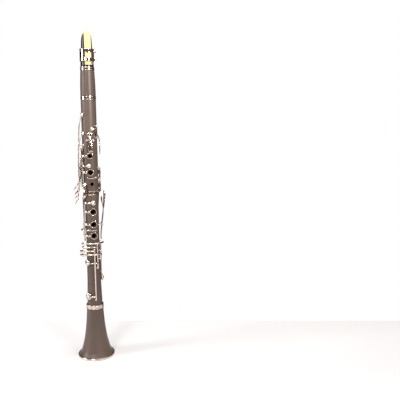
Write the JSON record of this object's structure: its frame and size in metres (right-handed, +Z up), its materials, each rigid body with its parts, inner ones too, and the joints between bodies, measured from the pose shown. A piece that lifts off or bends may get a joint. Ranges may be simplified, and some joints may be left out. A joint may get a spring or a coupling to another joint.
{
  "type": "clarinet",
  "caption": "B-flat soprano clarinet assembled from mouthpiece, barrel, two keyed joints and flared bell, with hinged key work, standing on its bell.",
  "frame": {"origin": "centre of the bell's rim, on the plane it stands on", "axes": "+Z up along the bore, -Y towards the tone holes"},
  "size_m": [0.0764, 0.0764, 0.668],
  "materials": {
    "body": "satin, fine grain",
    "mouthpiece": "polished",
    "key": "polished nickel plate",
    "rod": "polished",
    "cork": "matt cork",
    "reed": "bare cane",
    "pad": "bladder skin over felt"
  },
  "bodies": {
    "body": {"upper_joint": "body", "upper_joint_cork_top": "cork", "upper_joint_cork_bottom": "cork", "lower_joint": "body", "lower_joint_ring": "key", "lower_joint_cork": "cork", "thumb_bushing": "key", "register_tube": "key", "thumb_rest": "key", "throat_a_pivot": "rod", "throat_g_sharp_pivot": "rod", "upper_ring_rod": "rod", "side_pivot_upper": "rod", "side_pivot_lower": "rod", "upper_sliver_pivot": "rod", "c_sharp_pivot": "rod", "register_pivot": "rod", "thumb_ring_pivot": "rod", "lower_ring_rod": "rod", "lower_sliver_pivot": "rod", "lever_pivot": "rod", "f_key_pivot": "rod", "f_sharp_key_pivot": "rod", "e_key_pivot": "rod", "g_sharp_key_pivot": "rod"},
    "bell": {"bell": "body", "bell_ring_top": "key", "bell_ring_bottom": "key"},
    "barrel": {"barrel": "body", "barrel_ring_top": "key", "barrel_ring_bottom": "key"},
    "mouthpiece": {"mouthpiece": "mouthpiece", "mouthpiece_cork": "cork", "reed": "reed", "ligature_band": "key"},
    "ligature_screw_upper": {"ligature_screw_upper": "key"},
    "ligature_screw_lower": {"ligature_screw_lower": "key"},
    "throat_a_key": {"throat_a_key": "key"},
    "throat_g_sharp_key": {"throat_g_sharp_key": "key"},
    "first_finger_ring_key": {"first_finger_ring_key": "key"},
    "second_finger_ring_key": {"second_finger_ring_key": "key"},
    "side_key_4": {"side_key_4": "key"},
    "side_key_3": {"side_key_3": "key"},
    "side_key_2": {"side_key_2": "key"},
    "side_key_1": {"side_key_1": "key"},
    "upper_sliver_key": {"upper_sliver_key": "key"},
    "c_sharp_key": {"c_sharp_key": "key"},
    "register_key": {"register_key": "key"},
    "thumb_ring_key": {"thumb_ring_key": "key"},
    "lower_ring_key": {"lower_ring_key": "key"},
    "lower_sliver_key": {"lower_sliver_key": "key"},
    "left_lever_e": {"left_lever_e": "key"},
    "left_lever_f": {"left_lever_f": "key"},
    "left_lever_f_sharp": {"left_lever_f_sharp": "key"},
    "f_key": {"f_key": "key"},
    "f_sharp_key": {"f_sharp_key": "key"},
    "e_key": {"e_key": "key"},
    "g_sharp_key": {"g_sharp_key": "key"}
  },
  "joints": [
    {"name": "bell_swivel", "type": "hinge", "parent": "body", "child": "bell", "pos_m": [0, 0, 0.1], "axis": [0, 0, 1], "range_deg": [-90, 90]},
    {"name": "barrel_pull", "type": "slide", "parent": "body", "child": "barrel", "axis": [0, 0, 1], "range_m": [0, 0.002]},
    {"name": "mouthpiece_swivel", "type": "hinge", "parent": "barrel", "child": "mouthpiece", "pos_m": [0, 0, 0.6], "axis": [0, 0, 1], "range_deg": [-90, 90]},
    {"name": "ligature_screw_upper_turn", "type": "hinge", "parent": "mouthpiece", "child": "ligature_screw_upper", "pos_m": [-0.00234, 0.01664, 0.6309], "axis": [0.9903, 0.1392, 0], "range_deg": [-180, 180]},
    {"name": "ligature_screw_lower_turn", "type": "hinge", "parent": "mouthpiece", "child": "ligature_screw_lower", "pos_m": [-0.00234, 0.01664, 0.6162], "axis": [0.9903, 0.1392, 0], "range_deg": [-180, 180]},
    {"name": "throat_a_key_hinge", "type": "hinge", "parent": "body", "child": "throat_a_key", "pos_m": [0, -0.0182, 0.4561], "axis": [1, 0, 0], "range_deg": [0, 8], "stiffness_Nm_per_rad": 0.05, "springref_deg": -11.46},
    {"name": "throat_g_sharp_key_hinge", "type": "hinge", "parent": "body", "child": "throat_g_sharp_key", "pos_m": [0.01338, -0.01204, 0.473], "axis": [0, 0, 1], "range_deg": [0, 8], "stiffness_Nm_per_rad": 0.05, "springref_deg": -11.46},
    {"name": "first_finger_ring_key_hinge", "type": "hinge", "parent": "body", "child": "first_finger_ring_key", "pos_m": [-0.01791, -0.00797, 0.43065], "axis": [0, 0, 1], "range_deg": [0, 5.7], "stiffness_Nm_per_rad": 0.05, "springref_deg": -11.46},
    {"name": "second_finger_ring_key_hinge", "type": "hinge", "parent": "body", "child": "second_finger_ring_key", "pos_m": [-0.01791, -0.00797, 0.3919], "axis": [0, 0, 1], "range_deg": [0, 5.7], "stiffness_Nm_per_rad": 0.05, "springref_deg": -11.46},
    {"name": "side_key_4_hinge", "type": "hinge", "parent": "body", "child": "side_key_4", "pos_m": [-0.02195, -0.00153, 0.447], "axis": [0.0698, -0.9976, 0], "range_deg": [0, 2.4], "stiffness_Nm_per_rad": 0.05, "springref_deg": -11.46},
    {"name": "side_key_3_hinge", "type": "hinge", "parent": "body", "child": "side_key_3", "pos_m": [-0.02195, -0.00153, 0.447], "axis": [0.0698, -0.9976, 0], "range_deg": [0, 3], "stiffness_Nm_per_rad": 0.05, "springref_deg": -11.46},
    {"name": "side_key_2_hinge", "type": "hinge", "parent": "body", "child": "side_key_2", "pos_m": [-0.01932, 0.00942, 0.401], "axis": [-0.4384, -0.8988, 0], "range_deg": [0, 3], "stiffness_Nm_per_rad": 0.05, "springref_deg": -11.46},
    {"name": "side_key_1_hinge", "type": "hinge", "parent": "body", "child": "side_key_1", "pos_m": [-0.01932, 0.00942, 0.401], "axis": [-0.4384, -0.8988, 0], "range_deg": [0, 4.5], "stiffness_Nm_per_rad": 0.05, "springref_deg": -11.46},
    {"name": "upper_sliver_key_hinge", "type": "hinge", "parent": "body", "child": "upper_sliver_key", "pos_m": [0.0175, -0.00569, 0.38935], "axis": [0, 0, -1], "range_deg": [0, 7], "stiffness_Nm_per_rad": 0.05, "springref_deg": -11.46},
    {"name": "c_sharp_key_hinge", "type": "hinge", "parent": "body", "child": "c_sharp_key", "pos_m": [0.0175, -0.00569, 0.365], "axis": [0, 0, -1], "range_deg": [0, 8], "stiffness_Nm_per_rad": 0.05, "springref_deg": -11.46},
    {"name": "register_key_hinge", "type": "hinge", "parent": "body", "child": "register_key", "pos_m": [0, 0.019, 0.468], "axis": [-1, 0, 0], "range_deg": [0, 3.5], "stiffness_Nm_per_rad": 0.05, "springref_deg": -11.46},
    {"name": "thumb_ring_key_hinge", "type": "hinge", "parent": "body", "child": "thumb_ring_key", "pos_m": [0.01271, 0.01412, 0.442], "axis": [0, 0, 1], "range_deg": [0, 7.5], "stiffness_Nm_per_rad": 0.05, "springref_deg": -11.46},
    {"name": "lower_ring_key_hinge", "type": "hinge", "parent": "body", "child": "lower_ring_key", "pos_m": [-0.01672, -0.00744, 0.298], "axis": [0, 0, 1], "range_deg": [0, 5.6], "stiffness_Nm_per_rad": 0.05, "springref_deg": -11.46},
    {"name": "lower_sliver_key_hinge", "type": "hinge", "parent": "body", "child": "lower_sliver_key", "pos_m": [-0.01714, 0.00302, 0.275], "axis": [0, 0, 1], "range_deg": [0, 6], "stiffness_Nm_per_rad": 0.05, "springref_deg": -11.46},
    {"name": "left_lever_e_hinge", "type": "hinge", "parent": "body", "child": "left_lever_e", "pos_m": [0.01945, 0.00136, 0.283], "axis": [0.0698, -0.9976, 0], "range_deg": [0, 5], "stiffness_Nm_per_rad": 0.05, "springref_deg": -11.46},
    {"name": "left_lever_f_hinge", "type": "hinge", "parent": "body", "child": "left_lever_f", "pos_m": [0.01945, 0.00136, 0.283], "axis": [0.0698, -0.9976, 0], "range_deg": [0, 5], "stiffness_Nm_per_rad": 0.05, "springref_deg": -11.46},
    {"name": "left_lever_f_sharp_hinge", "type": "hinge", "parent": "body", "child": "left_lever_f_sharp", "pos_m": [0.01945, 0.00136, 0.283], "axis": [0.0698, -0.9976, 0], "range_deg": [0, 5], "stiffness_Nm_per_rad": 0.05, "springref_deg": -11.46},
    {"name": "f_key_hinge", "type": "hinge", "parent": "body", "child": "f_key", "pos_m": [0.01567, 0.00633, 0.2045], "axis": [0, 0, -1], "range_deg": [0, 11], "stiffness_Nm_per_rad": 0.05, "springref_deg": -11.46},
    {"name": "f_sharp_key_hinge", "type": "hinge", "parent": "body", "child": "f_sharp_key", "pos_m": [0.00745, -0.01528, 0.218], "axis": [0, 0, -1], "range_deg": [0, 8.1], "stiffness_Nm_per_rad": 0.05, "springref_deg": -11.46},
    {"name": "e_key_hinge", "type": "hinge", "parent": "body", "child": "e_key", "pos_m": [0.00153, -0.01753, 0.18], "axis": [0, 0, -1], "range_deg": [0, 9.9], "stiffness_Nm_per_rad": 0.05, "springref_deg": -11.46},
    {"name": "g_sharp_key_hinge", "type": "hinge", "parent": "body", "child": "g_sharp_key", "pos_m": [0.01302, -0.01093, 0.2205], "axis": [0, 0, -1], "range_deg": [0, 8], "stiffness_Nm_per_rad": 0.05, "springref_deg": -11.46}
  ],
  "couplings": [
    {"joint": "second_finger_ring_key_hinge", "follows": "lower_ring_key_hinge", "ratio": 1},
    {"joint": "left_lever_e_hinge", "follows": "e_key_hinge", "ratio": 0.5},
    {"joint": "left_lever_f_hinge", "follows": "f_key_hinge", "ratio": 0.43},
    {"joint": "left_lever_f_sharp_hinge", "follows": "f_sharp_key_hinge", "ratio": 0.61}
  ]
}
